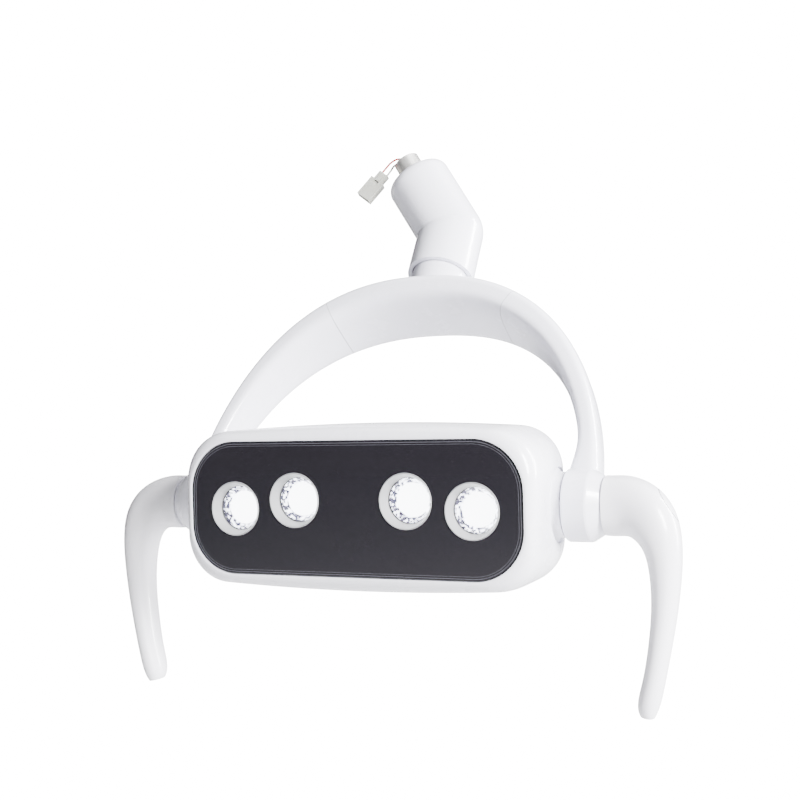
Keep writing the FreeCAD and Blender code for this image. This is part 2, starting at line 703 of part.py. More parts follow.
def joiner(side):
    """Metal tongue inside the arch that joins an arm to the bridge."""
    tongue = Part.makeBox(36.0, JOINER_THICK, 28.0, V(-18.0, -JOINER_THICK / 2, -14.0))
    for place in JOINER_PLACES:
        tongue = tongue.cut(rod(V(place, 10.0, 0), V(0, -1, 0), SCREW_R, 20.0))
    return put(tongue, at_seam(side))


def joiner_screws(side):
    screws = []
    for place in JOINER_PLACES:
        head = turned_part(V(place, 11.0, 0), V(0, 1, 0), ((0, 0), (0, 3.1), (1.5, 3.1), (1.5, 0)))
        head = head.cut(Part.makeBox(3.4, 1.0, 1.0, V(place - 1.7, 12.0, -0.5)))
        screws.append(put(head.fuse(rod(V(place, -2.0, 0), V(0, 1, 0), SCREW_R - 0.05, 13.0)), at_seam(side)))
    return group(screws)


def yoke_cable():
    """Cable laid in the arch's hollow, from under the neck's tube down the right arm."""
    points = []
    for turn in (1.42, 1.16, 0.9, 0.64, 0.4):
        middle, _, _, wide = arch_frame(turn, ARCH_WALL)
        points.append(middle - OFF_ARCH * (wide / 2 - CABLE_D))
    return tube_along(points, CABLE_D)


# ---------------------------------------------------------------- elbow and spigot

def elbow_shell():
    """Two straight tubes that meet in a ball corner, the upper one rounded at its end."""
    lower_start = MITRE - UP_ARCH * ELBOW_FOOT
    lower = rod(lower_start, UP_ARCH, ELBOW_R, ELBOW_FOOT)
    upper = rod(MITRE, SPIGOT_DIR, ELBOW_R, ELBOW_TOP)
    end_edge = [e for e in upper.Edges if abs((e.CenterOfMass - SEAT).Length) < 0.1]
    upper = upper.makeFillet(ELBOW_ROUND, end_edge)
    body = lower.fuse(upper).fuse(Part.makeSphere(ELBOW_R, MITRE)).removeSplitter()
    cutters = [rod(lower_start - UP_ARCH, UP_ARCH, NECK_R + 0.7, 9.0),
               rod(lower_start, UP_ARCH, BUSH_R + 0.02, ELBOW_FOOT - 1.0),
               rod(MITRE + SPIGOT_DIR * 2.0, SPIGOT_DIR, BUSH_R - 1.0 + 0.02, 57.0),
               rod(MITRE, SPIGOT_DIR, SPIGOT_R + 0.4, 80.0),
               Part.makeSphere(14.0, MITRE)]
    for cutter in cutters:
        body = body.cut(cutter)
    return body


def neck_bush():
    start = MITRE - UP_ARCH * (ELBOW_FOOT - 8.2)
    return pipe(start, UP_ARCH, BUSH_R, PIVOT_R + RUN, 24.0)


def neck_washer():
    start = MITRE - UP_ARCH * (ELBOW_FOOT - 8.2 - 24.2)
    return pipe(start, UP_ARCH, BUSH_R - 0.4, PIVOT_R + 0.3, 1.4)


def neck_nut():
    """Ring nut on top of the pivot tube."""
    start = MITRE - UP_ARCH * (ELBOW_FOOT - 8.2 - 25.8)
    nut = pipe(start, UP_ARCH, 15.8, PIVOT_R + 0.02, 4.6)
    for k in range(4):
        slot = block(V(15.8, 0, 2.3), (3.6, 3.4, 8.0))
        slot.rotate(V(0, 0, 0), V(0, 0, 1), 90 * k)
        nut = nut.cut(put(slot, FreeCAD.Placement(start, FreeCAD.Rotation(V(0, 0, 1), UP_ARCH))))
    return nut


def arm_spigot():
    """Brushed tube that plugs into the support arm; a groove inside the elbow takes its ring."""
    end = ELBOW_TOP + SPIGOT_OUT
    profile = ((20.0, SPIGOT_BORE), (20.0, JOURNAL_R), (23.0, JOURNAL_R), (23.0, JOURNAL_R - 1.0),
               (24.8, JOURNAL_R - 1.0), (24.8, JOURNAL_R), (ELBOW_TOP, JOURNAL_R), (ELBOW_TOP, SPIGOT_R),
               (end - 0.8, SPIGOT_R), (end, SPIGOT_R - 0.8), (end, SPIGOT_BORE + 0.6), (end - 0.6, SPIGOT_BORE))
    return turned_part(MITRE, SPIGOT_DIR, profile)


def spigot_ring():
    ring = pipe(V(0, 0, 23.1), V(0, 0, 1), 14.4, JOURNAL_R - 0.9, 1.6)
    ring = ring.cut(block(V(13.0, 0, 23.9), (14.0, 5.0, 6.0)))
    return put(ring, FreeCAD.Placement(MITRE, FreeCAD.Rotation(V(0, 0, 1), SPIGOT_DIR)))


def spigot_washer():
    return pipe(MITRE + SPIGOT_DIR * 24.9, SPIGOT_DIR, 15.4, JOURNAL_R + 0.3, 1.2)


def spigot_bush():
    return pipe(MITRE + SPIGOT_DIR * 26.3, SPIGOT_DIR, BUSH_R - 1.0, JOURNAL_R + RUN, 32.4)


# ---------------------------------------------------------------- leads and connector

def by_spigot(side, up, across=0.0):
    """A point near the spigot: side towards the connector, up along the spigot from the mitre."""
    return MITRE + LEAD_DIR * side + SPIGOT_DIR * up + SPIGOT_DIR.cross(LEAD_DIR) * across


CONNECTOR_AT = 21.6
CONNECTOR_UP = 76.9
CONNECTOR_DROP = 20.0          # degrees that the connector droops towards the elbow
DROP = math.radians(CONNECTOR_DROP)
CONNECTOR_OUT = LEAD_DIR * math.cos(DROP) - SPIGOT_DIR * math.sin(DROP)
CONNECTOR_UPWARD = CONNECTOR_OUT.cross(SPIGOT_DIR.cross(LEAD_DIR))
CONNECTOR_MID = by_spigot(CONNECTOR_AT, CONNECTOR_UP)


LEAD_START = 65.0              # the leads leave the grommet here, up the spigot from the mitre
LEAD_END = 4.9                 # and end this far inside the connector
RED_ROUTE = ((-3.2, LEAD_START, 1.6), (-3.2, 74.0, 1.6), (4.2, 82.6, 1.4), (12.0, 83.0, 0.9))
GREY_ROUTE = ((-2.5, LEAD_START, -1.6), (-2.5, 73.5, -1.6), (3.6, 80.0, -1.5), (11.4, 79.9, -1.2))


def lead_route(upper):
    """Corner points of one lead, from the grommet in the spigot over its rim and into the connector."""
    entry = CONNECTOR_MID + CONNECTOR_UPWARD * (WIRE_APART if upper else -WIRE_APART)
    corners = [by_spigot(*point) for point in (RED_ROUTE if upper else GREY_ROUTE)]
    return corners + [entry - CONNECTOR_OUT * 5.2, entry + CONNECTOR_OUT * LEAD_END]


def tube_along(points, diameter):
    """A round lead: straight runs joined by tangent arcs as large as the runs allow."""
    edges = []
    at = points[0]
    length = 0.0
    radii = []
    for k in range(1, len(points) - 1):
        before, corner, after = points[k - 1], points[k], points[k + 1]
        into, away = (corner - before), (after - corner)
        shorter = min(into.Length, away.Length)
        into.normalize()
        away.normalize()
        turn = math.acos(max(-1, min(1, into.dot(away))))
        back = 0.45 * shorter
        radius = back / math.tan(turn / 2)
        start, end = corner - into * back, corner + away * back
        inward = (away - into).normalize()
        centre = corner + inward * math.hypot(radius, back)
        middle = centre - inward * radius
        edges.append(Part.LineSegment(at, start).toShape())
        edges.append(arc(start, middle, end))
        length += (start - at).Length + radius * turn
        radii.append(round(radius, 1))
        at = end
    edges.append(Part.LineSegment(at, points[-1]).toShape())
    length += (points[-1] - at).Length
    path = Part.Wire(edges)
    ring = Part.Wire([Part.makeCircle(diameter / 2, points[0], points[1] - points[0])])
    tube = path.makePipeShell([ring], True, False, 2)
    area = math.pi * diameter ** 2 / 4
    print("   lead length %.1f mm, radii %s, volume %.2f of %.2f" % (length, radii, tube.Volume, area * length))
    return tube


def wire_grommet():
    return rod(MITRE + SPIGOT_DIR * 60.0, SPIGOT_DIR, SPIGOT_BORE - 0.02, 5.0)


def on_connector(shape):
    """Places a shape given along the connector: X away from the leads, Z along the spigot."""
    frame = FreeCAD.Rotation(CONNECTOR_OUT, CONNECTOR_UPWARD.cross(CONNECTOR_OUT), CONNECTOR_UPWARD, "XYZ")
    return put(shape, FreeCAD.Placement(CONNECTOR_MID, frame))


def connector_plug():
    """Inner half of the connector, with the two wire entries and a latch."""
    body = Part.makeBox(22.0, 5.0, 9.4, V(0.0, -2.5, -4.7))
    body = body.fuse(Part.makeBox(8.0, 1.4, 4.0, V(1.0, 2.5, -2.0)))
    for lift in (-WIRE_APART, WIRE_APART):
        body = body.cut(rod(V(-1.0, 0, lift), ALONG_X, WIRE_D / 2, 6.0))
        body = body.cut(Part.makeBox(15.0, 2.0, 2.0, V(4.0, -1.0, lift - 1.0)))
    return on_connector(body)


def connector_housing():
    """Outer half of the connector, closed at its far end."""
    body = Part.makeBox(19.0, 8.6, 13.6, V(8.4, -4.3, -6.8))
    body = body.makeFillet(0.6, [e for e in body.Edges if abs(e.Length - 19.0) < 0.01])
    socket = Part.makeBox(16.0, 5.4, 9.8, V(8.3, -2.7, -4.9))
    latch_slot = Part.makeBox(4.0, 4.0, 4.6, V(8.3, 2.0, -2.3))
    return on_connector(body.cut(socket).cut(latch_slot))


def connector_pins():
    return group([on_connector(Part.makeBox(13.0, 1.4, 1.4, V(5.0, -0.7, lift - 0.7)))
                  for lift in (-WIRE_APART, WIRE_APART)])


# ---------------------------------------------------------------- the whole light

def build():
    os.makedirs("parts", exist_ok=True)
    shell = casing_shell()
    save("front_casing", front_casing(shell))
    save("rear_casing", rear_casing(shell))
    save("casing_screws", casing_screws())
    save("face_panel", face_panel())
    save("panel_gasket", panel_gasket())
    for number, (x, z) in enumerate(LAMPS, 1):
        save("lamp_ring_%d" % number, lamp_ring(x, z))
        save("lens_%d" % number, lens(x, z))
        save("reflector_%d" % number, reflector(x, z))
    save("lamp_modules", group([lamp_module(x, z) for x, z in LAMPS]))
    save("lamp_carrier", lamp_carrier())
    save("heat_sink", heat_sink())
    save("board_standoffs", board_standoffs())
    save("driver_board", driver_board())
    save("driver_parts", driver_parts())
    save("board_screws", board_screws())

    blank = grip_blank()
    button_well = cap_well(CAP_R + CAP_GAP, CAP_SINK + PRESS + 0.6).fuse(cap_well(8.3, 15.0))
    plain_well = cap_well(CAP_R + CAP_GAP, CAP_SINK + 0.05)
    bridge, arms = yoke_pieces()
    save("yoke_bridge", bridge)
    for side, word in ((-1, "left"), (1, "right")):
        save("boss_" + word, boss(side))
        save("handle_" + word, handle(side, blank, button_well if side > 0 else plain_well))
        save("yoke_arm_" + word, arms[side])
    for name, piece in (("trunnions", trunnion), ("hub_bushes", hub_bush), ("friction_washers", friction_washer),
                        ("disc_springs", disc_spring), ("tilt_nuts", tilt_nut), ("joiners", joiner),
                        ("joiner_screws", joiner_screws)):
        save(name, group([solid for side in (-1, 1) for solid in piece(side).Solids]))
    save("flange_screws", flange_screws())
    save("handle_screws", handle_screws())
    save("handle_cap", mirrored(cap_blank(blank), -1))
    save("power_button", cap_blank(blank))
    save("button_spring", button_spring())
    save("switch_body", switch_body())

    save("pivot_tube", pivot_tube())
    save("yoke_cable", yoke_cable())
    save("neck_bush", neck_bush())
    save("neck_washer", neck_washer())
    save("neck_nut", neck_nut())
    save("elbow_shell", elbow_shell())
    save("spigot_bush", spigot_bush())
    save("spigot_washer", spigot_washer())
    save("spigot_ring", spigot_ring())
    save("arm_spigot", arm_spigot())
    save("wire_grommet", wire_grommet())
    save("lead_red", tube_along(lead_route(True), WIRE_D))
    save("lead_grey", tube_along(lead_route(False), WIRE_D))
    save("connector_plug", connector_plug())
    save("connector_housing", connector_housing())
    save("connector_pins", connector_pins())

    print("nodes", len(saved))
    print("tilt axis through", SEAT * -1)
    print("neck axis", UP_ARCH, "through", MITRE - SEAT)
    print("spigot axis", SPIGOT_DIR, "lead direction", LEAD_DIR, "cap axis", CAP_DIR)
    for upper in (True, False):
        print("lead points", [(p - SEAT) * 0.001 for p in lead_route(upper)])


build()
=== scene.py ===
"""Looks of the dental operating light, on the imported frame.

Materials, fine pieces, leads, lights and camera.
"""
import json
import math
import bmesh
import bpy
from mathutils import Matrix, Vector
from mathutils.bvhtree import BVHTree

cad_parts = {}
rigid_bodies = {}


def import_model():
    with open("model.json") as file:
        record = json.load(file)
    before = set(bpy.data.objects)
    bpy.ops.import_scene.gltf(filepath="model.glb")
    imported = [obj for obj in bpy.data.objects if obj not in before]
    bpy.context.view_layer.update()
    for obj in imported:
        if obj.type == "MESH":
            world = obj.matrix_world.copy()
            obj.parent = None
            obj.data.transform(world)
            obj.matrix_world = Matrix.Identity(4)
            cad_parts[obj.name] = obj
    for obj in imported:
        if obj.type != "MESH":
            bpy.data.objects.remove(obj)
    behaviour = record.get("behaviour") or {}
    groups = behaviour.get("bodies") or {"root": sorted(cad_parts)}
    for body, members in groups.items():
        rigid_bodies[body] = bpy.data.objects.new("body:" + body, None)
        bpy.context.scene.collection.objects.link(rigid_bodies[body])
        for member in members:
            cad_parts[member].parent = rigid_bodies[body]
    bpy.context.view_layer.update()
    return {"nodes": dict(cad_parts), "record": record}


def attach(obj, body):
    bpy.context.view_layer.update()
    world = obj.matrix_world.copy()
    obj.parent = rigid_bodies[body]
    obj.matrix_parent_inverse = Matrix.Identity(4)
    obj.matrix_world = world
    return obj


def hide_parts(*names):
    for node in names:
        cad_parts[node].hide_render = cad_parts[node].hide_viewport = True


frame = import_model()
NODES = frame["nodes"]

# Metres, with the origin on the spigot's axis where it leaves the elbow.
TILT = Vector((0.033285, -0.156763, -0.265858))          # middle of the head's tilt axis
SPIGOT = Vector((-0.530012, 0.059056, 0.845931)).normalized()
LEAD_SIDE = Vector((-0.810937, -0.326960, -0.485261)).normalized()   # the leads fold over to this side

FACE_Y = TILT.y - 0.0566      # front plane of the dark panel
PANEL_HALF = (0.1249, 0.0469)
PANEL_CORNER = 0.0346
PANEL_MID = 0.0007            # height of the panel's middle above the tilt axis
LAMPS = ((-0.0894, 0.0), (-0.0420, 0.0062), (0.0420, 0.0062), (0.0894, 0.0))
RING_DEEP = 0.0076            # from the panel's face back to the lens
CUP_DEEP = RING_DEEP + 0.0028

CAP = Vector((0.920505, 0.0, 0.390731)).normalized()
CAP_OUT = 0.2056              # where the right cap's axis crosses the tilt axis
CAP_R = 0.0120
CAP_GAP = 0.0006
SEAM_MIDDLE = Vector((0.108400, -0.064912, -0.131702))   # joint between the arch's bridge and right arm
SEAM_ALONG = Vector((0.87024, -0.27832, -0.40648)).normalized()
ARCH_SHADOW_CORD = 0.00022           # radius of the dark cord in each seam, a painted shadow of the joint
CAP_SHADOW_CORD = 0.00027

LEAD_D = 0.0018
FLOOR_Z = -0.62
FLOOR_HALF = 6.0


# ---------------------------------------------------------------- materials

class Paint:
    """A node material with short helpers for its graph."""

    def __init__(self, name, colour, rough, metal=0.0, **sockets):
        self.material = bpy.data.materials.new(name)
        self.material.use_nodes = True
        self.tree = self.material.node_tree
        self.shader = self.tree.nodes["Principled BSDF"]
        self.shader.inputs["Base Color"].default_value = (*colour, 1)
        self.shader.inputs["Roughness"].default_value = rough
        self.shader.inputs["Metallic"].default_value = metal
        for key, value in sockets.items():
            self.shader.inputs[key.replace("_", " ")].default_value = value
        self.coords = self.node("ShaderNodeTexCoord").outputs["Object"]
        self.height = None

    def node(self, kind, **values):
        made = self.tree.nodes.new(kind)
        for key, value in values.items():
            setattr(made, key, value)
        return made

    def link(self, a, b):
        self.tree.links.new(a, b)

    def stretched(self, scale):
        mapping = self.node("ShaderNodeMapping")
        mapping.inputs["Scale"].default_value = scale
        self.link(self.coords, mapping.inputs["Vector"])
        return mapping.outputs["Vector"]

    def noise(self, scale, detail=3.0, stretch=None, rough=0.5):
        made = self.node("ShaderNodeTexNoise")
        made.inputs["Scale"].default_value = scale
        made.inputs["Detail"].default_value = detail
        made.inputs["Roughness"].default_value = rough
        self.link(self.stretched(stretch) if stretch else self.coords, made.inputs["Vector"])
        return made.outputs["Fac"]

    def ramp(self, source, stops):
        made = self.node("ShaderNodeValToRGB")
        while len(made.color_ramp.elements) < len(stops):
            made.color_ramp.elements.new(0.5)
        for element, (place, colour) in zip(made.color_ramp.elements, stops):
            element.position = place
            element.color = (*colour, 1)
        self.link(source, made.inputs["Fac"])
        return made.outputs["Color"]

    def math(self, operation, a, b):
        made = self.node("ShaderNodeMath", operation=operation)
        for socket, value in zip(made.inputs, (a, b)):
            if isinstance(value, (int, float)):
                socket.default_value = value
            else:
                self.link(value, socket)
        return made.outputs["Value"]

    def spread(self, source, low, high, start=0.0, end=1.0):
        """The source's span from start to end, moved to low to high."""
        made = self.node("ShaderNodeMapRange")
        for key, value in (("From Min", start), ("From Max", end), ("To Min", low), ("To Max", high)):
            made.inputs[key].default_value = value
        self.link(source, made.inputs["Value"])
        return made.outputs["Result"]

    def voronoi(self, scale):
        made = self.node("ShaderNodeTexVoronoi")
        made.inputs["Scale"].default_value = scale
        self.link(self.coords, made.inputs["Vector"])
        return made

    def edges(self):
        """0 on flat skin, towards 1 along sharp convex edges."""
        point = self.node("ShaderNodeNewGeometry").outputs["Pointiness"]
        return self.spread(point, 0.0, 1.0, 0.52, 0.60)

    def mixed(self, factor, a, b):
        made = self.node("ShaderNodeMix", data_type="RGBA")
        self.link(factor, made.inputs[0])
        for socket, value in ((made.inputs[6], a), (made.inputs[7], b)):
            if isinstance(value, tuple):
                socket.default_value = (*value, 1)
            else:
                self.link(value, socket)
        return made.outputs[2]

    def colour(self, source):
        self.link(source, self.shader.inputs["Base Color"])

    def rough(self, source):
        self.link(source, self.shader.inputs["Roughness"])

    def bump(self, source, strength, distance):
        made = self.node("ShaderNodeBump")
        made.inputs["Strength"].default_value = strength
        made.inputs["Distance"].default_value = distance
        self.link(source, made.inputs["Height"])
        if self.height:
            self.link(self.height, made.inputs["Normal"])
        self.height = made.outputs["Normal"]
        self.link(self.height, self.shader.inputs["Normal"])


def shell_paint(name, colour, rough, peel, coat, warm=0.010):
    """Glossy white skin: faint orange peel, a little yellowing, handling smudges, and colour a little
    lighter along sharp convex edges.
    """
    p = Paint(name, colour, rough, Coat_Weight=coat, Coat_Roughness=0.06, IOR=1.5)
    low = p.noise(9.0, 4.0)
    aged = tuple(max(0.0, c - d) for c, d in zip(colour, (warm * 0.8, warm * 1.2, warm * 2.4)))
    skin = p.mixed(p.spread(low, 0.0, 1.0), colour, aged)
    speck = p.ramp(p.noise(420.0, 2.0), [(0.0, (0, 0, 0)), (0.69, (0, 0, 0)), (0.74, (1, 1, 1))])
    dirty = p.mixed(p.math("MULTIPLY", speck, 0.10), skin, tuple(c * 0.78 for c in colour))
    # colour made a little lighter along sharp convex edges
    lighter_edges = p.mixed(p.math("MULTIPLY", p.edges(), 0.22), dirty, tuple(min(1.0, c * 1.05) for c in colour))
    p.colour(lighter_edges)
    smudge = p.noise(34.0, 5.0, rough=0.62)
    p.rough(p.spread(smudge, rough - 0.06, rough + 0.10))
    p.bump(p.noise(peel, 2.0), 0.035, 0.0004)
    p.bump(p.noise(60.0, 3.0), 0.03, 0.0006)
    return p


def plastic_paint(name, colour, rough, grain=900.0, vary=0.12, strength=0.12):
    """Moulded plastic with a fine grain."""
    p = Paint(name, colour, rough)
    p.colour(p.mixed(p.noise(26.0, 4.0), colour, tuple(c * (1 - vary) for c in colour)))
    p.rough(p.spread(p.noise(70.0, 4.0), rough - 0.08, rough + 0.10))
    p.bump(p.noise(grain, 3.0), strength, 0.0003)
    return p


def metal_paint(name, colour, rough, stretch, grain, vary=0.14):
    """Bare metal with fine scratches drawn out along one direction."""
    p = Paint(name, colour, rough, 1.0)
    lines = p.noise(grain, 6.0, stretch, 0.7)
    stain = p.noise(38.0, 4.0)
    p.colour(p.mixed(stain, p.mixed(lines, colour, tuple(c * (1 - vary) for c in colour)),
                     tuple(c * 0.93 for c in colour)))
    p.rough(p.spread(lines, rough - 0.09, rough + 0.12))
    p.bump(lines, 0.10, 0.0002)
    return p


def round_brushed(name, colour, rough, axis):
    """Turned metal: fine rings round an axis."""
    p = Paint(name, colour, rough, 1.0, Anisotropic=0.35)
    along = p.node("ShaderNodeVectorMath", operation="DOT_PRODUCT")
    p.link(p.coords, along.inputs[0])
    along.inputs[1].default_value = axis
    fine = p.node("ShaderNodeTexNoise", noise_dimensions="1D")
    fine.inputs["Scale"].default_value = 5200.0
    fine.inputs["Detail"].default_value = 5.0
    p.link(along.outputs["Value"], fine.inputs["W"])
    lines = fine.outputs["Fac"]
    p.colour(p.mixed(p.noise(60.0, 4.0), p.mixed(lines, colour, tuple(c * 0.84 for c in colour)),
                     tuple(c * 0.88 for c in colour)))
    p.rough(p.spread(lines, rough - 0.08, rough + 0.14))
    p.bump(lines, 0.12, 0.0002)
    return p


def panel_paint():
    """Near-black acrylic: dark violet-grey body under a clear coat, faint wipe marks and dust."""
    p = Paint("panel_black", (0.0110, 0.0095, 0.0130), 0.16, Coat_Weight=0.2, Coat_Roughness=0.03, IOR=1.42)
    p.colour(p.mixed(p.noise(7.0, 3.0), (0.0120, 0.0110, 0.0145), (0.0085, 0.0077, 0.0102)))
    wipes = p.noise(22.0, 6.0, (1.0, 1.0, 5.5), 0.66)
    dust = p.ramp(p.noise(950.0, 2.0), [(0.0, (0, 0, 0)), (0.71, (0, 0, 0)), (0.76, (1, 1, 1))])
    p.rough(p.math("ADD", p.spread(wipes, 0.12, 0.24), p.math("MULTIPLY", dust, 0.25)))
    p.bump(wipes, 0.012, 0.0003)
    return p


def glass_paint():
    """Clear lens with a trace of dust."""
    p = Paint("lens_clear", (0.96, 0.97, 0.99), 0.04, Transmission_Weight=1.0, IOR=1.46)
    p.colour(p.mixed(p.noise(120.0, 2.0), (0.97, 0.98, 1.0), (0.90, 0.92, 0.95)))
    p.rough(p.spread(p.noise(300.0, 3.0), 0.015, 0.07))
    p.bump(p.noise(90.0, 2.0), 0.01, 0.0002)
    return p


def mirror_paint():
    """Metallised facets with painted reflections: bright and dark shards in the colour, as if they mirrored
    the emitter and the room.
    """
    p = Paint("reflector_silver", (0.90, 0.91, 0.93), 0.10, 1.0)
    # painted reflection: the colour itself holds bright and dark shards of a mirrored emitter and room
    painted_reflections = p.ramp(p.voronoi(640.0).outputs["Color"], [(0.0, (0.94, 0.95, 0.97)), (0.42, (0.72, 0.73, 0.80)),
                                                       (0.50, (0.060, 0.055, 0.085)),
                                                       (1.0, (0.012, 0.012, 0.020))])
    p.colour(painted_reflections)
    p.rough(p.spread(p.noise(260.0, 3.0), 0.05, 0.18))
    p.bump(p.noise(500.0, 2.0), 0.02, 0.0001)
    return p


def glow_paint():
    """The lit emitter: white, a little warmer in the middle of each cell."""
    p = Paint("led_glow", (0.95, 0.95, 0.90), 0.4)
    tone = p.mixed(p.voronoi(700.0).outputs["Distance"], (1.0, 0.99, 0.96), (0.92, 0.95, 1.0))
    p.link(tone, p.shader.inputs["Emission Color"])
    p.shader.inputs["Emission Strength"].default_value = 11.0
    p.rough(p.spread(p.noise(200.0), 0.3, 0.5))
    p.bump(p.noise(600.0), 0.05, 0.0001)
    return p


def connector_paint():
    """Milky nylon, thin enough to let some light through."""
    p = Paint("connector_cream", (0.80, 0.79, 0.75), 0.38, Subsurface_Weight=0.35, Subsurface_Scale=0.002)
    p.shader.inputs["Subsurface Radius"].default_value = (1.0, 0.9, 0.7)
    p.colour(p.mixed(p.noise(210.0, 4.0), (0.36, 0.365, 0.335), (0.29, 0.29, 0.26)))
    p.rough(p.spread(p.noise(330.0, 3.0), 0.28, 0.48))
    p.bump(p.noise(1500.0, 3.0), 0.15, 0.0002)
    return p


def wire_paint(name, colour):
    """Thin insulation with a soft sheen, faint scuffs and a slight ripple."""
    p = Paint(name, colour, 0.42, Sheen_Weight=0.1)
    p.colour(p.mixed(p.noise(400.0, 4.0), colour, tuple(c * 0.62 for c in colour)))
    p.rough(p.spread(p.noise(700.0, 3.0), 0.32, 0.55))
    p.bump(p.noise(1400.0, 3.0), 0.2, 0.0002)
    return p


WHITE = (0.780, 0.780, 0.850)
paints = {
    "casing_white": shell_paint("casing_white", WHITE, 0.26, 520.0, 0.35),
    "handle_white": shell_paint("handle_white", (0.770, 0.764, 0.825), 0.30, 640.0, 0.25, 0.016),
    "yoke_white": shell_paint("yoke_white", (0.780, 0.780, 0.865), 0.24, 380.0, 0.45, 0.006),
    "panel_black": panel_paint(),
    # the white lens collars get a dark grey colour: painted shade for their walls inside the lamp openings
    "ring_white": plastic_paint("ring_white", (0.26, 0.26, 0.27), 0.34, 1100.0, 0.06),
    "lens_clear": glass_paint(),
    "reflector_silver": mirror_paint(),
    "led_board": plastic_paint("led_board", (0.80, 0.80, 0.77), 0.5, 1400.0, 0.10),
    "plate_metal": metal_paint("plate_metal", (0.62, 0.63, 0.65), 0.34, (1.0, 6.0, 6.0), 300.0),
    "board_green": plastic_paint("board_green", (0.03, 0.16, 0.07), 0.36, 700.0, 0.30),
    "parts_dark": plastic_paint("parts_dark", (0.045, 0.045, 0.05), 0.45, 800.0, 0.35),
    "steel": metal_paint("steel", (0.56, 0.56, 0.58), 0.28, (1.0, 1.0, 7.0), 420.0),
    "spigot_steel": round_brushed("spigot_steel", (0.95, 0.94, 0.92), 0.36, SPIGOT),
    "bush_cream": plastic_paint("bush_cream", (0.72, 0.68, 0.56), 0.48, 900.0, 0.12),
    "rubber_grey": plastic_paint("rubber_grey", (0.05, 0.05, 0.055), 0.72, 1200.0, 0.30, 0.3),
    "wire_red": wire_paint("wire_red", (0.34, 0.018, 0.013)),
    "wire_grey": wire_paint("wire_grey", (0.36, 0.355, 0.34)),
    "cable_grey": wire_paint("cable_grey", (0.10, 0.10, 0.11)),
    "connector_cream": connector_paint(),
    "brass_pins": metal_paint("brass_pins", (0.70, 0.52, 0.22), 0.26, (1.0, 1.0, 5.0), 500.0, 0.2),
}
GLOW = glow_paint().material
LINE = plastic_paint("edge_line", (0.085, 0.085, 0.10), 0.22, 1500.0, 0.10).material
# painted shadow: near-black material for the ring that stands in for the shade in each lens's gap
GAP_SHADOW_DARK = plastic_paint("lens_seal", (0.06, 0.06, 0.065), 0.7, 900.0, 0.25).material
# painted shadow: near-black material for the cords that stand in for the shade in the joints
SEAM_SHADOW = plastic_paint("seam_gap_shadow", (0.055, 0.055, 0.062), 0.6, 900.0, 0.20).material

for part in frame["record"]["subparts"]:
    thing = NODES[part["node"]]
    thing.data.materials.clear()
    thing.data.materials.append(paints[part["material_slot"]].material)


# ---------------------------------------------------------------- smooth shading of the curved CAD pieces

SMOOTHED = ["yoke_bridge", "yoke_arm_left", "yoke_arm_right", "elbow_shell", "arm_spigot",
            "handle_left", "handle_right", "handle_cap", "power_button",
            "front_casing", "rear_casing", "boss_left", "boss_right",
            "connector_housing", "connector_plug"]
SMOOTHED += [word % number for word in ("lens_%d", "lamp_ring_%d") for number in range(1, 5)]


def smooth(thing):
    """Smooth shading that still breaks at real edges."""
    for face in thing.data.polygons:
        face.use_smooth = True
    split = thing.modifiers.new("edges", "EDGE_SPLIT")
    split.split_angle = math.radians(32.0)


# ---------------------------------------------------------------- new pieces

def new_piece(name, mesh, body, material):
    """Puts a mesh in the scene as a named piece that rides on a body."""
    thing = bpy.data.objects.new(name, mesh)
    bpy.context.scene.collection.objects.link(thing)
    mesh.materials.clear()
    mesh.materials.append(material)
    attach(thing, body)
    return thing


def mesh_from(name, build):
    bm = bmesh.new()
    build(bm)
    bmesh.ops.recalc_face_normals(bm, faces=bm.faces)
    mesh = bpy.data.meshes.new(name)
    bm.to_mesh(mesh)
    bm.free()
    return mesh


def loops(bm, rings):
    """Quads between successive rings of points; every ring is closed."""
    rows = [[bm.verts.new(p) for p in ring] for ring in rings]
    for low, high in zip(rows, rows[1:]):
        count = len(low)
        for k in range(count):
            bm.faces.new((low[k], low[(k + 1) % count], high[(k + 1) % count], high[k]))
    return rows


def lamp_ring(x, z, radius, depth, count, twist=0.0):
    """Ring of points round a lamp's axis, at a depth behind the panel's face."""
    turns = [2 * math.pi * (k + twist) / count for k in range(count)]
    return [(TILT.x + x + radius * math.cos(turn), FACE_Y + depth, TILT.z + z + radius * math.sin(turn))
            for turn in turns]


def reflector_mesh(x, z):
    """Cup of flat facets in staggered rows, with a real wall behind them."""
    sides = 26
    facets = ((0.0154, 0.0, 0.0), (0.0147, 0.0013, 0.5), (0.0139, 0.0028, 0.0), (0.0128, 0.0045, 0.5),
              (0.0101, 0.0080, 0.0), (0.0074, 0.0112, 0.5))
    wall = ((0.0160, 0.0), (0.0090, 0.0113))

    def build(bm):
        inner = [[bm.verts.new(p) for p in lamp_ring(x, z, radius, CUP_DEEP + depth, sides, twist)]
                 for radius, depth, twist in facets]
        for step, (low, high) in enumerate(zip(inner, inner[1:])):
            for k in range(sides):
                after = (k + 1) % sides
                c, d = (high[after], high[k]) if step % 2 else (high[k], high[k - 1])
                bm.faces.new((low[k], low[after], c))
                bm.faces.new((low[k], c, d))
        front, back = [[bm.verts.new(p) for p in lamp_ring(x, z, radius, CUP_DEEP + depth, sides)]
                       for radius, depth in wall]
        for k in range(sides):
            after = (k + 1) % sides
            bm.faces.new((front[k], front[after], back[after], back[k]))
            bm.faces.new((front[k], front[after], inner[0][after], inner[0][k]))
            bm.faces.new((back[k], back[after], inner[-1][k]))
            bm.faces.new((back[after], inner[-1][after], inner[-1][k]))
    return mesh_from("facets", build)


def turned_rings(x, z, profile, count):
    """Rings round a lamp's axis: profile holds (radius, depth behind the panel's face)."""
    return [lamp_ring(x, z, radius, depth, count) for radius, depth in profile]


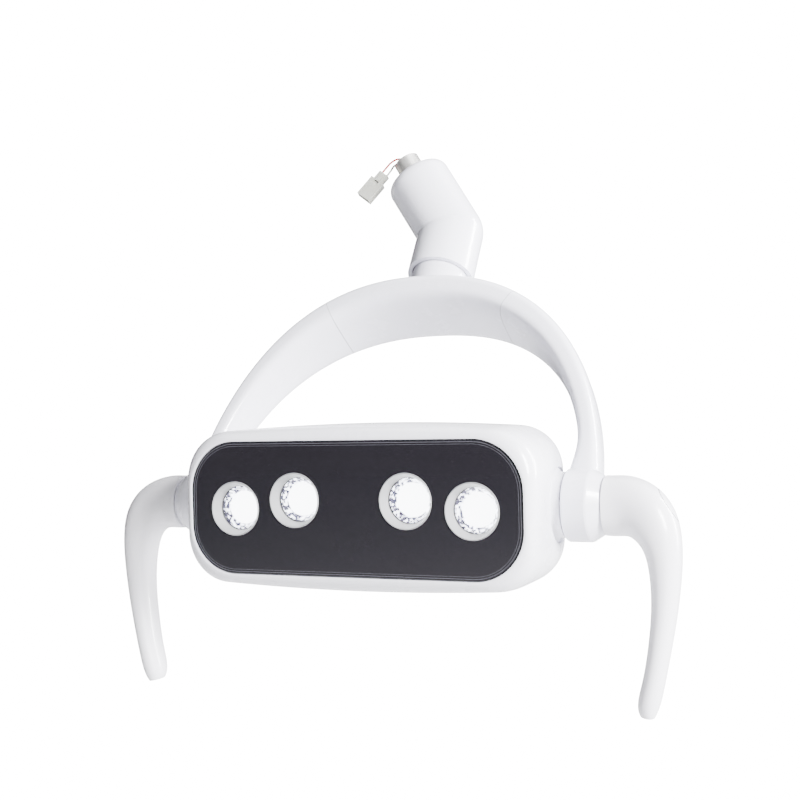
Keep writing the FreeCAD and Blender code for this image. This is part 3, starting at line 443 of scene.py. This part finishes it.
def optic_mesh(x, z):
    """Light-guide plug that stands in the cup and glows over its domed front."""
    back, front = RING_DEEP + 0.0136, RING_DEEP + 0.0068
    profile = ((0.0066, back), (0.0088, back - 0.0034), (0.0112, front + 0.0006), (0.0117, front),
               (0.0112, front - 0.0006), (0.0092, front - 0.0013), (0.0060, front - 0.0019),
               (0.0024, front - 0.0022))

    def build(bm):
        rows = loops(bm, turned_rings(x, z, profile, 40))
        bm.faces.new(rows[-1])
        bm.faces.new(rows[0])
    return mesh_from("optic", build)


def gap_shadow_mesh(x, z):
    """Thin dark ring in the gap between a lens and its collar: painted shadow of that gap."""
    front = RING_DEEP
    profile = ((0.0153, front + 0.0007), (0.0154, front + 0.0003), (0.01565, front + 0.0002),
               (0.01569, front + 0.0007), (0.0156, front + 0.0009))

    def build(bm):
        rings = turned_rings(x, z, profile, 72)
        loops(bm, rings + rings[:1])
        bmesh.ops.remove_doubles(bm, verts=bm.verts, dist=1e-7)
    return mesh_from("gap_shadow", build)


def rounded_rect(half_x, half_z, corner, count=10):
    """Points round a rectangle with round corners, about its middle."""
    points = []
    for cx, cz, start in ((1, 1, 0), (-1, 1, 90), (-1, -1, 180), (1, -1, 270)):
        for k in range(count + 1):
            turn = math.radians(start + 90 * k / count)
            points.append((cx * (half_x - corner) + corner * math.cos(turn),
                           cz * (half_z - corner) + corner * math.sin(turn)))
    return points


def edge_line(inset, wide, proud):
    """Thin raised line that follows the panel's outline."""
    bury = 0.00002            # the line's foot lies this far inside the panel

    def build(bm):
        rings = []
        for grow, y in ((0.0, 0.0), (0.0, -proud), (wide, -proud), (wide, 0.0)):
            outline = rounded_rect(*(size - inset - grow for size in (*PANEL_HALF, PANEL_CORNER)))
            rings.append([(TILT.x + px, FACE_Y + bury + y, TILT.z + PANEL_MID + pz) for px, pz in outline])
        loops(bm, rings + rings[:1])
    return mesh_from("line", build)


def mirrored(point):
    """The point's mirror image on the other side of the head."""
    return Vector((2 * TILT.x - point.x, point.y, point.z))


def skin(node):
    """Search tree of a node's surface, in the frame."""
    thing = NODES[node]
    return BVHTree.FromPolygons([thing.matrix_world @ v.co for v in thing.data.vertices],
                                [tuple(face.vertices) for face in thing.data.polygons])


def shadow_cord_mesh(points, radius, flip):
    """Thin closed cord along a loop of points, on the right side or mirrored to the left: a dark line of
    painted shadow in a joint.
    """
    path = [mirrored(p) for p in points] if flip else points
    middle = sum(path, Vector()) / len(path)

    def build(bm):
        rings = []
        for k, point in enumerate(path):
            tangent = (path[(k + 1) % len(path)] - path[k - 1]).normalized()
            out = (point - middle) - tangent * (point - middle).dot(tangent)
            out.normalize()
            side = tangent.cross(out)
            rings.append([point + (out * math.cos(turn) + side * math.sin(turn)) * radius
                          for turn in (math.pi * step / 3 for step in range(6))])
        loops(bm, rings + rings[:1])
        bmesh.ops.remove_doubles(bm, verts=bm.verts, dist=1e-8)
    return mesh_from("shadow_cord", build)


def directions(axis, across, count):
    """Unit vectors that go once round an axis."""
    other = axis.cross(across)
    turns = [2 * math.pi * k / count for k in range(count)]
    return [across * math.cos(turn) + other * math.sin(turn) for turn in turns]


def arch_seam():
    """Loop round the arch in the joint between its bridge and its right arm."""
    arm = skin("yoke_arm_right")
    inside, reach, sunk = 0.0004, 0.06, 0.00010
    shadow_cord_back = 0.00052       # from the probed ring back into the joint
    found = []
    for out in directions(SEAM_ALONG, SEAM_ALONG.orthogonal().normalized(), 120):
        start = SEAM_MIDDLE + SEAM_ALONG * inside + out * reach
        hit = arm.ray_cast(start, -out, reach)[0]
        if hit:
            found.append(hit - SEAM_ALONG * shadow_cord_back - out * sunk)
    return found


def cap_seam():
    """Loop in the gap round the button, half way between its edge and the handle's."""
    handle, button = skin("handle_right"), skin("power_button")
    handle_ring, button_ring = CAP_R + CAP_GAP + 0.00008, CAP_R - 0.00012
    above, reach, sunk = 0.03, 0.05, 0.00010
    middle = TILT + Vector((CAP_OUT, 0, 0)) + CAP * above
    found = []
    for out in directions(CAP, Vector((0, 1, 0)), 90):
        hits = [tree.ray_cast(middle + out * radius, -CAP, reach)[0]
                for tree, radius in ((handle, handle_ring), (button, button_ring))]
        if all(hits):
            found.append((hits[0] + hits[1]) / 2 - CAP * sunk)
    return found


for number, (x, z) in enumerate(LAMPS, 1):
    cup = new_piece("facets_%d" % number, reflector_mesh(x, z), "head", paints["reflector_silver"].material)
    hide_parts("reflector_%d" % number)
    new_piece("optic_%d" % number, optic_mesh(x, z), "head", GLOW)
    # dark ring painted as the shadow in the gap round the lens
    new_piece("lens_seal_%d" % number, gap_shadow_mesh(x, z), "head", GAP_SHADOW_DARK)

arch_loop, cap_loop = arch_seam(), cap_seam()
# dark cords painted as the shadow in the arch's joint and round the button
for word, flip in (("right", False), ("left", True)):
    new_piece("arch_seam_shadow_" + word, shadow_cord_mesh(arch_loop, ARCH_SHADOW_CORD, flip), "yoke", SEAM_SHADOW)
    new_piece("cap_seam_shadow_" + word, shadow_cord_mesh(cap_loop, CAP_SHADOW_CORD, flip), "head", SEAM_SHADOW)
new_piece("panel_line_outer", edge_line(0.0016, 0.00035, 0.00012), "head", LINE)
new_piece("panel_line_inner", edge_line(0.0032, 0.00022, 0.00010), "head", LINE)


# ---------------------------------------------------------------- leads

def by_spigot(side, up, across=0.0):
    """A point near the spigot: side towards the connector, up along the spigot from the origin."""
    return LEAD_SIDE * side + SPIGOT * up + SPIGOT.cross(LEAD_SIDE) * across


def lead_points(over_rim, entry_rise):
    """Corners of a lead's curve, to the micrometre: over the spigot's rim and into the connector."""
    droop = math.radians(20.0)      # of the connector, towards the elbow
    outward = LEAD_SIDE * math.cos(droop) - SPIGOT * math.sin(droop)
    upward = outward.cross(SPIGOT.cross(LEAD_SIDE))
    entry = by_spigot(0.0216, 0.0141) + upward * entry_rise
    corners = [by_spigot(*corner) for corner in over_rim]
    corners += [entry - outward * 0.0052, entry + outward * 0.0049]
    return [tuple(round(value, 6) for value in corner) for corner in corners]


def lead(name, points, material):
    curve = bpy.data.curves.new(name, "CURVE")
    curve.dimensions = "3D"
    curve.bevel_depth = LEAD_D / 2
    curve.bevel_resolution = 5
    curve.resolution_u = 24
    spline = curve.splines.new("NURBS")
    spline.points.add(len(points) - 1)
    for slot, point in zip(spline.points, points):
        slot.co = (*point, 1.0)
    spline.order_u = 3
    spline.use_endpoint_u = True
    thing = bpy.data.objects.new(name, curve)
    bpy.context.scene.collection.objects.link(thing)
    curve.materials.append(material)
    return thing


RED = lead_points(((-0.0032, 0.0022, 0.0016), (-0.0032, 0.0112, 0.0016),
                   (0.0042, 0.0198, 0.0014), (0.0120, 0.0202, 0.0009)), 0.0026)
GREY = lead_points(((-0.0025, 0.0022, -0.0016), (-0.0025, 0.0107, -0.0016),
                    (0.0036, 0.0172, -0.0015), (0.0114, 0.0171, -0.0012)), -0.0026)

for name, points, node, slot, length in (("red_lead", RED, "lead_red", "wire_red", 0.0434),
                                         ("grey_lead", GREY, "lead_grey", "wire_grey", 0.0401)):
    wire = lead(name, points, paints[slot].material)
    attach(wire, "arm_side")
    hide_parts(node)


# ---------------------------------------------------------------- studio

AIM = TILT + Vector((0, 0.05, 0.06))


def area_light(name, place, size, power):
    light = bpy.data.lights.new(name, "AREA")
    light.shape = "RECTANGLE"
    light.size, light.size_y = size
    light.energy = power
    thing = bpy.data.objects.new(name, light)
    thing.location = place
    thing.rotation_euler = (AIM - Vector(place)).to_track_quat("-Z", "Y").to_euler()
    bpy.context.scene.collection.objects.link(thing)


def floor():
    """Pale floor that looks evenly white from the camera and still lights the object as matt grey."""
    def build(bm):
        for px, py in ((-1, -1), (1, -1), (1, 1), (-1, 1)):
            bm.verts.new((px * FLOOR_HALF, py * FLOOR_HALF, FLOOR_Z))
        bm.faces.new(bm.verts)
    mesh = mesh_from("floor", build)
    thing = bpy.data.objects.new("floor", mesh)
    bpy.context.scene.collection.objects.link(thing)
    pale = Paint("floor_pale", (0.86, 0.86, 0.86), 0.9)
    pale.colour(pale.mixed(pale.noise(2.0), (0.66, 0.66, 0.66), (0.63, 0.63, 0.635)))
    pale.shader.inputs["Emission Color"].default_value = (1.0, 1.0, 1.0, 1)
    seen = pale.node("ShaderNodeLightPath").outputs["Is Camera Ray"]
    pale.link(pale.math("MULTIPLY", seen, 17.0), pale.shader.inputs["Emission Strength"])
    mesh.materials.append(pale.material)


def backdrop():
    """White to the camera, and a dim even light to everything else."""
    world = bpy.data.worlds.new("studio")
    bpy.context.scene.world = world
    world.use_nodes = True
    nodes, link = world.node_tree.nodes, world.node_tree.links.new
    sky = nodes["Background"]
    sky.inputs["Color"].default_value = (1.0, 1.0, 1.0, 1)
    rays = nodes.new("ShaderNodeLightPath")
    strength = nodes.new("ShaderNodeMapRange")
    strength.inputs["To Min"].default_value = 0.09
    strength.inputs["To Max"].default_value = 20.0
    link(rays.outputs["Is Camera Ray"], strength.inputs["Value"])
    link(strength.outputs["Result"], sky.inputs["Strength"])


def photo_camera():
    data = bpy.data.cameras.new("photo")
    data.lens = 56.25
    data.sensor_width = 36.0
    data.clip_start = 0.01
    camera = bpy.data.objects.new("photo", data)
    place = Vector((0.4056, -0.9817, -0.1932))
    yaw, pitch, roll = -0.4079, -0.0018, -0.0251
    right, ahead, up = (Matrix.Rotation(roll, 3, "Y") @ Matrix.Rotation(pitch, 3, "X")
                        @ Matrix.Rotation(yaw, 3, "Z"))
    turn = Matrix((right, up, -ahead)).transposed().to_4x4()
    camera.matrix_world = Matrix.Translation(place) @ turn
    bpy.context.scene.collection.objects.link(camera)
    bpy.context.scene.camera = camera


floor()
backdrop()
photo_camera()
area_light("key", (1.85, -0.95, 0.65), (0.6, 1.0), 330)
area_light("fill", (-0.9, -1.5, 0.9), (1.3, 1.0), 4)
area_light("top", (0.1, 0.25, 1.3), (1.6, 1.2), 28)
area_light("back", (-0.6, 1.6, 0.4), (1.2, 1.0), 8)
area_light("rim", (1.28, 0.95, 0.22), (0.20, 1.3), 90)

for name in SMOOTHED:
    smooth(NODES[name])
for number in range(1, 5):
    for name in ("optic_%d", "lens_seal_%d"):
        for face in bpy.data.objects[name % number].data.polygons:
            face.use_smooth = True
